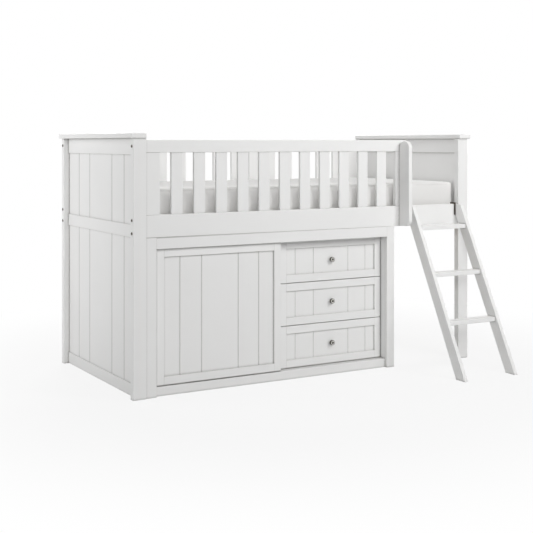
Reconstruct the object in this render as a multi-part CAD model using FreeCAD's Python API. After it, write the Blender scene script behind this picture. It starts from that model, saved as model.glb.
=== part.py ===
import FreeCAD, Part
import math
import os

# Low loft bed in painted wood: two panelled ends, side rails with slatted guards, a hook-on
# ladder, a mattress on slats, and an under-bed cabinet with a sliding door and three drawers.
# Sizes are in millimetres. X runs along the bed from left to right, Y from front to back and
# Z up from the floor. Pieces are built with X = 0 at the outside of the left posts and Y = 0 at
# the front of the front posts, and are moved to the origin when they are written.

# Mattress and the room around it
mattress_length = 1900.0
mattress_width = 900.0
mattress_thickness = 190.0
mattress_end_gap = 2.0
mattress_side_gap = 18.5
mattress_seat_gap = 0.3
mattress_corner_radius = 70.0
mattress_crown = 12.0
mattress_side_draw = 6.0

# Posts and end caps
post_width = 66.0
post_thickness = 34.0
post_height = 1218.0
post_edge_radius = 2.0
cap_thickness = 24.0
cap_outer_overhang = 15.0
cap_end_overhang = 10.0
cap_inner_setback = 2.0
cap_edge_radius = 4.0

# End frames: rails between the posts and tongued boards between the rails
end_rail_recess = 26.0
end_rail_thickness = 24.0
end_top_rail_height = 78.0
end_mid_rail_height = 60.0
end_bottom_rail_height = 58.0
end_bottom_rail_lift = 2.0
end_panel_recess = 5.0
end_panel_thickness = 12.0
end_centre_board = 307.0
end_side_board = 157.0

# Panel joints, the same on the ends, the door and the drawers
tongue_depth = 8.0
tongue_play = 0.25
board_groove_width = 6.0
board_groove_depth = 3.0

# Side rails
side_rail_low = 750.0
side_rail_height = 108.0
side_rail_thickness = 24.0
side_rail_setback = 5.0
rail_edge_radius = 3.0

# Slatted guards above the side rails
guard_top_drop = 8.0
guard_rail_height = 60.0
guard_stile_width = 72.0
guard_slat_width = 60.0
guard_slat_thickness = 16.0
guard_slat_edge_radius = 2.0
front_slat_count = 11
rear_slat_count = 14

# Grab board beside the ladder
grab_thickness = 23.0
grab_reach = 84.0
grab_foot_lift = 3.0
grab_top_drop = 5.0
grab_arch_rise = 30.0
grab_corner_radius = 34.0
grab_shoulder_radius = 8.0
grab_edge_radius = 3.0

# Bolts through the posts into the rails
bolt_diameter = 6.0
bolt_hole_play = 0.5
bolt_bite = 50.0
bolt_head_diameter = 13.0
bolt_head_thickness = 2.5
bolt_socket_size = 5.0
bolt_socket_depth = 1.8
bolt_pair_spacing = 61.0

# Slatted base under the mattress
ledger_width = 28.0
ledger_height = 22.0
ledger_lift = 2.0
base_slat_count = 14
base_slat_width = 70.0
base_slat_thickness = 20.0
base_slat_margin = 12.0
base_slat_end_play = 1.0

# Ladder
ladder_width = 352.0
ladder_side_clearance = 1.5
ladder_rail_clearance = 0.3
ladder_foot_reach = 471.0
ladder_top_depth = 49.0
ladder_top_drop = 2.0
stringer_thickness = 21.0
stringer_run = 70.0
stringer_edge_radius = 2.0
step_count = 3
top_step_lift = 2.0
lowest_step_top = 279.0
step_thickness = 22.0
step_setback = 12.0
step_housing_depth = 6.0
step_housing_play = 0.2
step_edge_radius = 2.5
hook_thickness = 3.0
hook_leg_width = 9.0
hook_bridge_height = 8.0
hook_front_drop = 60.0
hook_rear_drop = 30.0
hook_rail_clearance = 0.4
hook_screw_head_diameter = 7.0
hook_screw_head_thickness = 1.2
hook_screw_spacing = 22.0
hook_screw_drop = 14.0

# Cabinet: face frame and carcass
face_setback = 6.0
face_thickness = 18.0
face_left_stile = 55.0
face_right_stile = 47.0
face_top_rail = 54.0
face_edge_radius = 1.5
carcass_board = 18.0
carcass_depth = 560.0
carcass_back = 8.0
cupboard_width = 688.0
drawer_bay_width = 628.0
plinth_height = 45.0
shelf_height = 390.0
shelf_play = 1.0
shelf_front_setback = 10.0
shelf_pin_diameter = 5.0
shelf_pin_hole_play = 0.2
shelf_pin_sink = 10.0
shelf_pin_reach = 9.0
shelf_pin_inset = 60.0

# Sliding door
door_face_gap = 3.0
door_thickness = 22.0
door_stop_gap = 10.0
door_overlap = 2.0
door_floor_gap = 3.0
door_head_gap = 2.0
door_stile_width = 38.0
door_top_rail_height = 57.0
door_bottom_rail_height = 40.0
door_centre_board = 201.0
door_side_board = 116.0
inset_panel_thickness = 8.0
inset_panel_recess = 9.0
track_width = 8.0
track_depth = 10.0
glide_length = 60.0
glide_inset = 90.0
glide_side_play = 0.5
glide_seat_gap = 0.3
guide_head_gap = 2.0

# Drawers
drawer_count = 3
drawer_gap = 3.0
drawer_floor_gap = 2.0
drawer_head_gap = 1.0
drawer_side_gap = 2.0
drawer_front_thickness = 22.0
drawer_stile_width = 37.0
drawer_rail_height = 40.0
drawer_centre_board = 216.0
drawer_side_board = 110.0
box_depth = 450.0
box_height = 150.0
box_lift = 22.0
box_side_gap = 4.0
box_side_thickness = 14.0
box_end_thickness = 12.0
box_bottom_thickness = 6.0
box_bottom_lift = 8.0
box_bottom_tongue = 4.0
box_bottom_play = 0.2
runner_width = 11.0
runner_height = 16.0
runner_length = 430.0
runner_front_gap = 14.0
runner_play = 0.3
knob_length = 21.0
knob_head_diameter = 26.0
knob_head_length = 12.0
knob_stem_diameter = 10.0
knob_base_diameter = 15.0
knob_base_thickness = 2.0
knob_edge_radius = 1.5
knob_door_clearance = 3.0

# Places along X
bed_length = mattress_length + 2.0 * (mattress_end_gap + end_rail_recess + end_rail_thickness)
right_post_x = bed_length - post_width
rail_span = (post_width, right_post_x)
ladder_opening = ladder_width + 2.0 * ladder_side_clearance
front_guard_end = right_post_x - ladder_opening
ladder_left = front_guard_end + ladder_side_clearance
ladder_right = ladder_left + ladder_width
left_jamb = post_width + face_left_stile
divider_left = left_jamb + cupboard_width
divider_right = divider_left + carcass_board
right_jamb = divider_right + drawer_bay_width
cabinet_right = right_jamb + face_right_stile
door_left = left_jamb + door_stop_gap
door_right = divider_left + door_overlap

# Places along Y
bed_depth = mattress_width + 2.0 * (mattress_side_gap + side_rail_thickness + side_rail_setback)
rear_post_y = bed_depth - post_thickness
front_rail_y = (side_rail_setback, side_rail_setback + side_rail_thickness)
rear_rail_y = (bed_depth - front_rail_y[1], bed_depth - front_rail_y[0])
face_back = face_setback + face_thickness
door_front = face_back + door_face_gap
door_back = door_front + door_thickness
door_middle = (door_front + door_back) / 2.0
drawer_front = door_back + knob_door_clearance + knob_length - inset_panel_recess
drawer_back = drawer_front + drawer_front_thickness
carcass_rear = face_setback + carcass_depth
back_panel_y = carcass_rear - carcass_back

# Heights
side_rail_top = side_rail_low + side_rail_height
guard_top = post_height - guard_top_drop
guard_rail_low = guard_top - guard_rail_height
grab_low = side_rail_low + grab_foot_lift
grab_top = guard_top - grab_top_drop
ladder_top = side_rail_top - ladder_top_drop
step_rise = (side_rail_low + top_step_lift - lowest_step_top) / (step_count - 1)
end_top_rail_low = post_height - end_top_rail_height
end_mid_rail_top = side_rail_low + end_mid_rail_height
end_bottom_rail_top = end_bottom_rail_lift + end_bottom_rail_height
ledger_low = side_rail_low + ledger_lift
ledger_top = ledger_low + ledger_height
base_top = ledger_top + base_slat_thickness
mattress_low = base_top + mattress_seat_gap
cabinet_height = side_rail_low
carcass_top_low = cabinet_height - carcass_board
guide_low = carcass_top_low - carcass_board
face_rail_low = cabinet_height - face_top_rail
carcass_floor_low = plinth_height - carcass_board
door_low = plinth_height + door_floor_gap
door_top = guide_low - door_head_gap
drawer_stack_low = plinth_height + drawer_floor_gap
drawer_stack_top = face_rail_low - drawer_head_gap
drawer_gaps = (drawer_count - 1) * drawer_gap
drawer_front_height = (drawer_stack_top - drawer_stack_low - drawer_gaps) / drawer_count

# The ladder's front edge runs from its foot to its top, which stands against the front side rail
ladder_rest = front_rail_y[0] - ladder_rail_clearance
ladder_lean = math.atan((ladder_rest - ladder_top_depth + ladder_foot_reach) / ladder_top)

# The origin is at the middle of the floor area that the bed and its ladder cover
origin = FreeCAD.Vector(bed_length / 2.0, (bed_depth + cap_end_overhang - ladder_foot_reach) / 2.0, 0.0)

ALONG_X = FreeCAD.Vector(1, 0, 0)
ALONG_Y = FreeCAD.Vector(0, 1, 0)
ALONG_Z = FreeCAD.Vector(0, 0, 1)


def point(x, y, z):
    return FreeCAD.Vector(x, y, z)


def block(x_span, y_span, z_span):
    """Box between the two values of each span."""
    low = point(x_span[0], y_span[0], z_span[0])
    return Part.makeBox(x_span[1] - x_span[0], y_span[1] - y_span[0], z_span[1] - z_span[0], low)


def runs_along(edge, axis):
    direction = edge.tangentAt(edge.FirstParameter)
    return abs(abs(direction.dot(axis)) - 1.0) < 1e-6


def board(x_span, y_span, z_span, axis, radius):
    """Box whose four long edges, along axis, are eased."""
    shape = block(x_span, y_span, z_span)
    return shape.makeFillet(radius, [edge for edge in shape.Edges if runs_along(edge, axis)])


def grown(span, play):
    return (span[0] - play, span[1] + play)


def rod(start, axis, diameter, length):
    return Part.makeCylinder(diameter / 2.0, length, start, axis)


def extruded(points, push):
    """Solid of a closed outline, given by its corners, pushed along a vector."""
    outline = Part.makePolygon(points + [points[0]])
    return Part.Face(outline).extrude(push)


def tongued_panel(width, height, thickness, centre_board, side_board):
    """Upright panel of five boards, face at y = 0, middle at x = 0, foot at z = 0."""
    shape = block((-width / 2.0, width / 2.0), (0.0, thickness), (0.0, height))
    inner = centre_board / 2.0
    for seam in (-inner - side_board, -inner, inner, inner + side_board):
        left = point(seam - board_groove_width / 2.0, 0.0, 0.0)
        right = point(seam + board_groove_width / 2.0, 0.0, 0.0)
        root = point(seam, board_groove_depth, 0.0)
        shape = shape.cut(extruded([left, right, root], point(0.0, 0.0, height)))
    return shape


def end_panel(left_side, z_span):
    """Panel of an end, with its tongues in the posts and rails, and the pocket that holds it."""
    y_span = (post_thickness - tongue_depth, rear_post_y + tongue_depth)
    z_span = grown(z_span, tongue_depth)
    face = end_rail_recess + end_panel_recess
    x_span = (face, face + end_panel_thickness)
    turn = -90.0
    if not left_side:
        face = bed_length - face
        x_span = (face - end_panel_thickness, face)
        turn = 90.0
    panel = tongued_panel(y_span[1] - y_span[0], z_span[1] - z_span[0], end_panel_thickness,
                          end_centre_board, end_side_board)
    panel.rotate(point(0, 0, 0), ALONG_Z, turn)
    panel.translate(point(face, bed_depth / 2.0, z_span[0]))
    pocket = block(grown(x_span, tongue_play), grown(y_span, tongue_play), grown(z_span, tongue_play))
    return panel, pocket


def post(left_side, front_side):
    x_span = (0.0, post_width) if left_side else (right_post_x, bed_length)
    y_span = (0.0, post_thickness) if front_side else (rear_post_y, bed_depth)
    return board(x_span, y_span, (0.0, post_height), ALONG_Z, post_edge_radius)


def end_rail(left_side, z_span):
    x_span = (end_rail_recess, end_rail_recess + end_rail_thickness)
    if not left_side:
        x_span = (bed_length - x_span[1], bed_length - x_span[0])
    return board(x_span, (post_thickness, rear_post_y), z_span, ALONG_Y, post_edge_radius)


def cap(left_side):
    """Board on top of an end, standing out past the posts."""
    x_span = (-cap_outer_overhang, post_width - cap_inner_setback)
    if not left_side:
        x_span = (bed_length - x_span[1], bed_length - x_span[0])
    shape = block(x_span, (-cap_end_overhang, bed_depth + cap_end_overhang),
                  (post_height, post_height + cap_thickness))
    return shape.makeFillet(cap_edge_radius, shape.Edges)


def bolt_heights(has_guard):
    middle = side_rail_low + side_rail_height / 2.0
    heights = [middle - bolt_pair_spacing / 2.0, middle + bolt_pair_spacing / 2.0]
    if has_guard:
        heights.append(guard_top - guard_rail_height / 2.0)
    return heights


def bolt_places():
    """Where each bolt's head seats: point on the post's outer face and the way the shank goes."""
    places = []
    for left_side in (True, False):
        for y_span, reaches_right in ((front_rail_y, False), (rear_rail_y, True)):
            x = 0.0 if left_side else bed_length
            way = 1.0 if left_side else -1.0
            for height in bolt_heights(left_side or reaches_right):
                places.append((point(x, (y_span[0] + y_span[1]) / 2.0, height), point(way, 0, 0)))
    return places


def bolt(place, way):
    """Flat-headed bolt with a hexagon socket."""
    shank = rod(place, way, bolt_diameter, post_width + bolt_bite)
    head = rod(place - way * bolt_head_thickness, way, bolt_head_diameter, bolt_head_thickness)
    corner = bolt_socket_size / math.sqrt(3.0)
    mouth = place - way * bolt_head_thickness
    corners = []
    for index in range(6):
        angle = math.radians(60.0 * index)
        corners.append(mouth + point(0, corner * math.cos(angle), corner * math.sin(angle)))
    socket = extruded(corners, way * bolt_socket_depth)
    return shank.fuse(head).removeSplitter().cut(socket)


def drilled(shape):
    """Shape with the clearance holes of every bolt that meets it."""
    for place, way in bolt_places():
        hole = rod(place, way, bolt_diameter + bolt_hole_play, post_width + bolt_bite + bolt_hole_play)
        if hole.BoundBox.intersect(shape.BoundBox):
            shape = shape.cut(hole)
    return shape


def side_rail(y_span):
    return drilled(board(rail_span, y_span, (side_rail_low, side_rail_top), ALONG_X, rail_edge_radius))


def guard_rail(y_span, x_end):
    shape = board((post_width, x_end), y_span, (guard_rail_low, guard_top), ALONG_X, rail_edge_radius)
    return drilled(shape)


def guard_stiles(y_span, x_end):
    heights = (side_rail_top, guard_rail_low)
    left = (post_width, post_width + guard_stile_width)
    right = (x_end - guard_stile_width, x_end)
    return [board(x_span, y_span, heights, ALONG_Z, guard_slat_edge_radius) for x_span in (left, right)]


def guard_slats(y_span, x_end, count):
    """Evenly spaced slats between the two stiles of a guard."""
    first = post_width + guard_stile_width
    clear = x_end - guard_stile_width - first
    gap = (clear - count * guard_slat_width) / (count + 1)
    middle = (y_span[0] + y_span[1]) / 2.0
    slat_y = (middle - guard_slat_thickness / 2.0, middle + guard_slat_thickness / 2.0)
    slats = []
    for index in range(count):
        left = first + gap + index * (guard_slat_width + gap)
        slats.append(board((left, left + guard_slat_width), slat_y, (side_rail_top, guard_rail_low),
                           ALONG_Z, guard_slat_edge_radius))
    return slats


def grab_board():
    """Upright board on the guard's end stile, with an arched top and a rounded lower front corner."""
    back = front_rail_y[0]
    front = back - grab_reach
    middle = front_guard_end - guard_stile_width / 2.0
    x = middle - grab_thickness / 2.0
    shoulder = grab_top - grab_arch_rise
    radius = grab_corner_radius
    turn = radius * (1.0 - math.sqrt(0.5))
    foot = Part.LineSegment(point(x, back, grab_low), point(x, front + radius, grab_low))
    corner = Part.Arc(point(x, front + radius, grab_low), point(x, front + turn, grab_low + turn),
                      point(x, front, grab_low + radius))
    edge = Part.LineSegment(point(x, front, grab_low + radius), point(x, front, shoulder))
    crown = point(x, (front + back) / 2.0, grab_top)
    arch = Part.Arc(point(x, front, shoulder), crown, point(x, back, shoulder))
    seat = Part.LineSegment(point(x, back, shoulder), point(x, back, grab_low))
    outline = Part.Wire([curve.toShape() for curve in (foot, corner, edge, arch, seat)])
    shape = Part.Face(outline).extrude(point(grab_thickness, 0, 0))
    cross_edges = [edge for edge in shape.Edges if runs_along(edge, ALONG_X)]
    shoulder_edge = min(cross_edges, key=lambda edge: edge.CenterOfMass.y - edge.CenterOfMass.z)
    shape = shape.makeFillet(grab_shoulder_radius, [shoulder_edge])
    free_edges = [edge for edge in shape.Edges if edge.CenterOfMass.y < back - grab_edge_radius
                  and not runs_along(edge, ALONG_X)]
    return shape.makeFillet(grab_edge_radius, free_edges)


def slat_ledgers():
    front = (front_rail_y[1], front_rail_y[1] + ledger_width)
    rear = (rear_rail_y[0] - ledger_width, rear_rail_y[0])
    return [block(rail_span, y_span, (ledger_low, ledger_top)) for y_span in (front, rear)]


def base_slats():
    """Slats across the bed, resting on the two ledgers."""
    y_span = grown((front_rail_y[1], rear_rail_y[0]), -base_slat_end_play)
    first = post_width + base_slat_margin
    pitch = (right_post_x - base_slat_margin - base_slat_width - first) / (base_slat_count - 1)
    slats = []
    for index in range(base_slat_count):
        left = first + index * pitch
        slats.append(board((left, left + base_slat_width), y_span, (ledger_top, base_top),
                           ALONG_Y, rail_edge_radius))
    return slats


def rounded_loop(inset, height):
    """Level outline of the mattress, drawn in by inset, at a height."""
    x0 = (bed_length - mattress_length) / 2.0 + inset
    x1 = bed_length - x0
    y0 = (bed_depth - mattress_width) / 2.0 + inset
    y1 = bed_depth - y0
    r = mattress_corner_radius
    s = r * (1.0 - math.sqrt(0.5))
    curves = [
        Part.LineSegment(point(x0 + r, y0, height), point(x1 - r, y0, height)),
        Part.Arc(point(x1 - r, y0, height), point(x1 - s, y0 + s, height), point(x1, y0 + r, height)),
        Part.LineSegment(point(x1, y0 + r, height), point(x1, y1 - r, height)),
        Part.Arc(point(x1, y1 - r, height), point(x1 - s, y1 - s, height), point(x1 - r, y1, height)),
        Part.LineSegment(point(x1 - r, y1, height), point(x0 + r, y1, height)),
        Part.Arc(point(x0 + r, y1, height), point(x0 + s, y1 - s, height), point(x0, y1 - r, height)),
        Part.LineSegment(point(x0, y1 - r, height), point(x0, y0 + r, height)),
        Part.Arc(point(x0, y0 + r, height), point(x0 + s, y0 + s, height), point(x0 + r, y0, height)),
    ]
    return Part.Wire([curve.toShape() for curve in curves])


def mattress():
    """Pad with a crowned top, rounded borders and sides drawn in between them."""
    border = 2.0 * mattress_crown
    crown_low = mattress_thickness - mattress_crown
    levels = [
        (border, 0.0),
        (mattress_crown / 2.0, mattress_crown / 2.0),
        (0.0, border),
        (mattress_side_draw, mattress_thickness / 2.0),
        (0.0, crown_low - mattress_crown),
        (mattress_crown / 2.0, crown_low - mattress_crown / 4.0),
        (border * 2.0, mattress_thickness - mattress_crown / 2.0),
        (border * 7.0, mattress_thickness),
    ]
    loops = [rounded_loop(inset, mattress_low + level) for inset, level in levels]
    return Part.makeLoft(loops, True, True)


def lean_at(height):
    """How far the leaning stringers have gone back at a height."""
    return height * math.tan(ladder_lean)


def step_tops():
    return [lowest_step_top + index * step_rise for index in range(step_count)]


def step_section(top):
    """Depth and height spans of the step whose top face is at a height."""
    middle = top - step_thickness / 2.0
    front = lean_at(middle) - ladder_foot_reach
    return (front + step_setback, front + stringer_run), (top - step_thickness, top)


def ladder_step(top):
    y_span, z_span = step_section(top)
    clear = (ladder_left + stringer_thickness, ladder_right - stringer_thickness)
    return board(grown(clear, step_housing_depth), y_span, z_span, ALONG_X, step_edge_radius)


def stringer(left_side):
    """Leaning side board, cut level at the floor and upright at the side rail, housed for the steps."""
    x = ladder_left if left_side else ladder_right - stringer_thickness
    inner = (x + stringer_thickness - step_housing_depth - step_housing_play, x + stringer_thickness)
    if not left_side:
        inner = (x, x + step_housing_depth + step_housing_play)
    heel = stringer_run - ladder_foot_reach
    meet = (ladder_rest - heel) / math.tan(ladder_lean)
    outline = [
        point(x, -ladder_foot_reach, 0.0),
        point(x, heel, 0.0),
        point(x, ladder_rest, meet),
        point(x, ladder_rest, ladder_top),
        point(x, ladder_rest - ladder_top_depth, ladder_top),
    ]
    shape = extruded(outline, point(stringer_thickness, 0, 0))
    leaning = point(0, math.sin(ladder_lean), math.cos(ladder_lean))
    long_edges = [edge for edge in shape.Edges if runs_along(edge, leaning)]
    shape = shape.makeFillet(stringer_edge_radius, long_edges)
    for step_top in step_tops():
        y_span, z_span = step_section(step_top)
        housing = block(inner, grown(y_span, step_housing_play), grown(z_span, step_housing_play))
        shape = shape.cut(housing)
    return shape


def ladder_hook(left_side):
    """Plate on a stringer's inner face that hooks over the side rail, with its two screw heads."""
    x = ladder_left + stringer_thickness if left_side else ladder_right - stringer_thickness
    way = 1.0 if left_side else -1.0
    front_inner = front_rail_y[0] - hook_rail_clearance
    rear_inner = front_rail_y[1] + hook_rail_clearance
    under = side_rail_top + hook_rail_clearance
    outline = [
        point(x, front_inner - hook_leg_width, under - hook_front_drop),
        point(x, front_inner, under - hook_front_drop),
        point(x, front_inner, under),
        point(x, rear_inner, under),
        point(x, rear_inner, under - hook_rear_drop),
        point(x, rear_inner + hook_leg_width, under - hook_rear_drop),
        point(x, rear_inner + hook_leg_width, under + hook_bridge_height),
        point(x, front_inner - hook_leg_width, under + hook_bridge_height),
    ]
    solids = [extruded(outline, point(way * hook_thickness, 0, 0))]
    for index in range(2):
        height = under - hook_screw_drop - index * hook_screw_spacing
        seat = point(x + way * hook_thickness, front_inner - hook_leg_width / 2.0, height)
        solids.append(rod(seat, point(way, 0, 0), hook_screw_head_diameter, hook_screw_head_thickness))
    return solids


def face_stile(x_span):
    y_span = (face_setback, face_back)
    return board(x_span, y_span, (0.0, cabinet_height), ALONG_Z, face_edge_radius)


def face_rail():
    return board((left_jamb, right_jamb), (face_setback, face_back), (face_rail_low, cabinet_height),
                 ALONG_X, face_edge_radius)


def plinth():
    """Front board of the base, with the door's track in its top edge."""
    x_span = (left_jamb, right_jamb)
    shape = block(x_span, (face_back, door_back), (0.0, plinth_height))
    track = grown((door_middle, door_middle), track_width / 2.0)
    return shape.cut(block(x_span, track, (plinth_height - track_depth, plinth_height)))


def door_guide():
    """Board behind the face rail, with the door's upper track in its underside."""
    x_span = (left_jamb, right_jamb)
    shape = block(x_span, (face_back, drawer_front), (guide_low, carcass_top_low))
    track = grown((door_middle, door_middle), track_width / 2.0)
    return shape.cut(block(x_span, track, (guide_low, guide_low + track_depth)))


def shelf_depth():
    return (drawer_front + shelf_front_setback, back_panel_y)


def shelf_pins():
    """Pins in the cupboard's two sides, just under the shelf, and the holes that hold them."""
    pins = []
    holes = []
    depth = shelf_depth()
    height = shelf_height - shelf_pin_diameter / 2.0
    for x, way in ((left_jamb, 1.0), (divider_left, -1.0)):
        for y in (depth[0] + shelf_pin_inset, depth[1] - shelf_pin_inset):
            start = point(x - way * shelf_pin_sink, y, height)
            axis = point(way, 0, 0)
            pins.append(rod(start, axis, shelf_pin_diameter, shelf_pin_sink + shelf_pin_reach))
            holes.append(rod(start, axis, shelf_pin_diameter + shelf_pin_hole_play, shelf_pin_sink))
    return pins, holes


def cupboard_shelf():
    x_span = grown((left_jamb, divider_left), -shelf_play)
    return block(x_span, shelf_depth(), (shelf_height, shelf_height + carcass_board))


def carcass():
    """Side boards, divider, floor, top and back of the cabinet, by name."""
    depth = (face_back, carcass_rear)
    left_side = block((left_jamb - carcass_board, left_jamb), depth, (0.0, cabinet_height))
    right_side = block((right_jamb, right_jamb + carcass_board), depth, (0.0, cabinet_height))
    inner_height = (plinth_height, carcass_top_low)
    divider = block((divider_left, divider_right), (drawer_front, back_panel_y), inner_height)
    for hole in shelf_pins()[1]:
        left_side = left_side.cut(hole)
        divider = divider.cut(hole)
    inside = (left_jamb, right_jamb)
    return {
        "cabinet_left_side": [left_side],
        "cabinet_right_side": [right_side],
        "cabinet_divider": [divider],
        "cabinet_floor": [block(inside, (door_back, carcass_rear), (carcass_floor_low, plinth_height))],
        "cabinet_top": [block(inside, depth, (carcass_top_low, cabinet_height))],
        "cabinet_back": [block(inside, (back_panel_y, carcass_rear), inner_height)],
    }


def framed_front(x_span, front, thickness, z_span, stile_width, rail_heights, boards):
    """Frame of two stiles and two rails, lower rail first, and the boarded panel in its grooves."""
    y_span = (front, front + thickness)
    opening_x = grown(x_span, -stile_width)
    opening_z = (z_span[0] + rail_heights[0], z_span[1] - rail_heights[1])
    panel_x = grown(opening_x, tongue_depth)
    panel_z = grown(opening_z, tongue_depth)
    face = front + inset_panel_recess
    panel = tongued_panel(panel_x[1] - panel_x[0], panel_z[1] - panel_z[0], inset_panel_thickness,
                          boards[0], boards[1])
    panel.translate(point((panel_x[0] + panel_x[1]) / 2.0, face, panel_z[0]))
    panel_y = (face, face + inset_panel_thickness)
    pocket = block(grown(panel_x, tongue_play), grown(panel_y, tongue_play), grown(panel_z, tongue_play))
    frame = [
        board((x_span[0], opening_x[0]), y_span, z_span, ALONG_Z, face_edge_radius),
        board((opening_x[1], x_span[1]), y_span, z_span, ALONG_Z, face_edge_radius),
        board(opening_x, y_span, (z_span[0], opening_z[0]), ALONG_X, face_edge_radius),
        board(opening_x, y_span, (opening_z[1], z_span[1]), ALONG_X, face_edge_radius),
    ]
    return [piece.cut(pocket) for piece in frame], panel


def door_glides():
    """Sliders under the door's bottom edge and guides on its top edge, in the two tracks."""
    y_span = grown((door_middle, door_middle), track_width / 2.0 - glide_side_play)
    lower = (plinth_height - track_depth + glide_seat_gap, door_low)
    upper = (door_top, guide_low + track_depth - guide_head_gap)
    glides = []
    for left in (door_left + glide_inset, door_right - glide_inset - glide_length):
        for z_span in (lower, upper):
            glides.append(board((left, left + glide_length), y_span, z_span, ALONG_Z, face_edge_radius))
    return glides


def drawer_low(index):
    """Height of the lower edge of a drawer front, counted from the top."""
    return drawer_stack_low + (drawer_count - 1 - index) * (drawer_front_height + drawer_gap)


def runner_span(index):
    middle = drawer_low(index) + box_lift + box_height / 2.0
    return grown((middle, middle), runner_height / 2.0)


def runner_depth():
    front = drawer_back + runner_front_gap
    return (front, front + runner_length)


def drawer_runners():
    """Strips on both sides of the drawer bay that the drawer sides hang on."""
    spans = ((divider_right, divider_right + runner_width), (right_jamb - runner_width, right_jamb))
    strips = []
    for index in range(drawer_count):
        for x_span in spans:
            strips.append(block(x_span, runner_depth(), runner_span(index)))
    return strips


def drawer_box(index):
    """Two sides grooved for the runners, an inner front, a back and a bottom held in grooves."""
    low = drawer_low(index) + box_lift
    z_span = (low, low + box_height)
    x_span = grown((divider_right, right_jamb), -box_side_gap)
    y_span = (drawer_back, drawer_back + box_depth)
    inner_x = grown(x_span, -box_side_thickness)
    inner_y = grown(y_span, -box_end_thickness)
    bottom_z = (low + box_bottom_lift, low + box_bottom_lift + box_bottom_thickness)
    bottom = block(grown(inner_x, box_bottom_tongue), grown(inner_y, box_bottom_tongue), bottom_z)
    pocket = block(grown(inner_x, box_bottom_tongue + box_bottom_play),
                   grown(inner_y, box_bottom_tongue + box_bottom_play), grown(bottom_z, box_bottom_play))
    runway_y = (runner_depth()[0] - box_side_gap, y_span[1])
    runway_z = grown(runner_span(index), runner_play)
    walls = []
    for left, right, wall_x in (
        (x_span[0], divider_right + runner_width + runner_play, (x_span[0], inner_x[0])),
        (right_jamb - runner_width - runner_play, x_span[1], (inner_x[1], x_span[1])),
    ):
        walls.append(block(wall_x, y_span, z_span).cut(block((left, right), runway_y, runway_z)))
    walls.append(block(inner_x, (y_span[0], inner_y[0]), z_span))
    walls.append(block(inner_x, (inner_y[1], y_span[1]), z_span))
    return [wall.cut(pocket) for wall in walls] + [bottom]


def knob(index):
    """Round knob on a thin stem and a small base, standing on the middle of the drawer's panel."""
    face = drawer_front + inset_panel_recess
    neck = knob_length - knob_head_length
    ease = knob_edge_radius
    profile = [
        (0.0, 0.0),
        (knob_base_diameter / 2.0, 0.0),
        (knob_base_diameter / 2.0, knob_base_thickness),
        (knob_stem_diameter / 2.0, knob_base_thickness),
        (knob_stem_diameter / 2.0, neck),
        (knob_head_diameter / 2.0, neck),
        (knob_head_diameter / 2.0, knob_length),
        (0.0, knob_length),
    ]
    outline = Part.makePolygon([point(radius, 0.0, out) for radius, out in profile + [profile[0]]])
    shape = Part.Face(outline).revolve(point(0, 0, 0), ALONG_Z, 360)
    rims = [edge for edge in shape.Edges if abs(edge.CenterOfMass.z - knob_length) < ease
            or abs(edge.CenterOfMass.z - neck) < ease]
    rims = [edge for edge in rims if edge.BoundBox.XLength > knob_stem_diameter + ease]
    shape = shape.makeFillet(ease, rims)
    shape.rotate(point(0, 0, 0), ALONG_X, 90.0)
    height = drawer_low(index) + drawer_front_height / 2.0
    shape.translate(point((divider_right + right_jamb) / 2.0, face, height))
    return shape


def end_frames():
    """Posts, rails, panels and caps of both ends, by name."""
    upper = (end_mid_rail_top, end_top_rail_low)
    lower = (end_bottom_rail_top, side_rail_low)
    pieces = {}
    for name, left_side in (("left", True), ("right", False)):
        rails = {"top": (end_top_rail_low, post_height), "mid": (side_rail_low, end_mid_rail_top)}
        panels = {"upper": end_panel(left_side, upper)}
        if left_side:
            rails["bottom"] = (end_bottom_rail_lift, end_bottom_rail_top)
            panels["lower"] = end_panel(left_side, lower)
        pockets = [pocket for panel, pocket in panels.values()]
        frame = {}
        for level, z_span in rails.items():
            frame[name + "_" + level + "_rail"] = end_rail(left_side, z_span)
        frame[name + "_front_post"] = drilled(post(left_side, True))
        frame[name + "_rear_post"] = drilled(post(left_side, False))
        for key, shape in frame.items():
            for pocket in pockets:
                shape = shape.cut(pocket)
            pieces[key] = [shape]
        for level, (panel, pocket) in panels.items():
            pieces[name + "_" + level + "_panel"] = [panel]
        pieces[name + "_cap"] = [cap(left_side)]
    return pieces


def sides():
    """Side rails, guards, grab board, bolts and the base for the mattress, by name."""
    pieces = {}
    for name, y_span, x_end, count in (
        ("front", front_rail_y, front_guard_end, front_slat_count),
        ("rear", rear_rail_y, right_post_x, rear_slat_count),
    ):
        pieces[name + "_side_rail"] = [side_rail(y_span)]
        pieces[name + "_guard_top_rail"] = [guard_rail(y_span, x_end)]
        pieces[name + "_guard_stiles"] = guard_stiles(y_span, x_end)
        pieces[name + "_guard_slats"] = guard_slats(y_span, x_end, count)
    pieces["grab_board"] = [grab_board()]
    pieces["frame_bolts"] = [bolt(place, way) for place, way in bolt_places()]
    pieces["slat_ledgers"] = slat_ledgers()
    pieces["base_slats"] = base_slats()
    pieces["mattress"] = [mattress()]
    return pieces


def cabinet():
    """Face frame, carcass, shelf, tracks and drawer runners, by name."""
    pieces = carcass()
    pieces["cabinet_left_stile"] = [face_stile((post_width, left_jamb))]
    pieces["cabinet_right_stile"] = [face_stile((right_jamb, cabinet_right))]
    pieces["cabinet_top_rail"] = [face_rail()]
    pieces["cabinet_plinth"] = [plinth()]
    pieces["door_guide"] = [door_guide()]
    pieces["cupboard_shelf"] = [cupboard_shelf()]
    pieces["shelf_pins"] = shelf_pins()[0]
    pieces["drawer_runners"] = drawer_runners()
    return pieces


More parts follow.
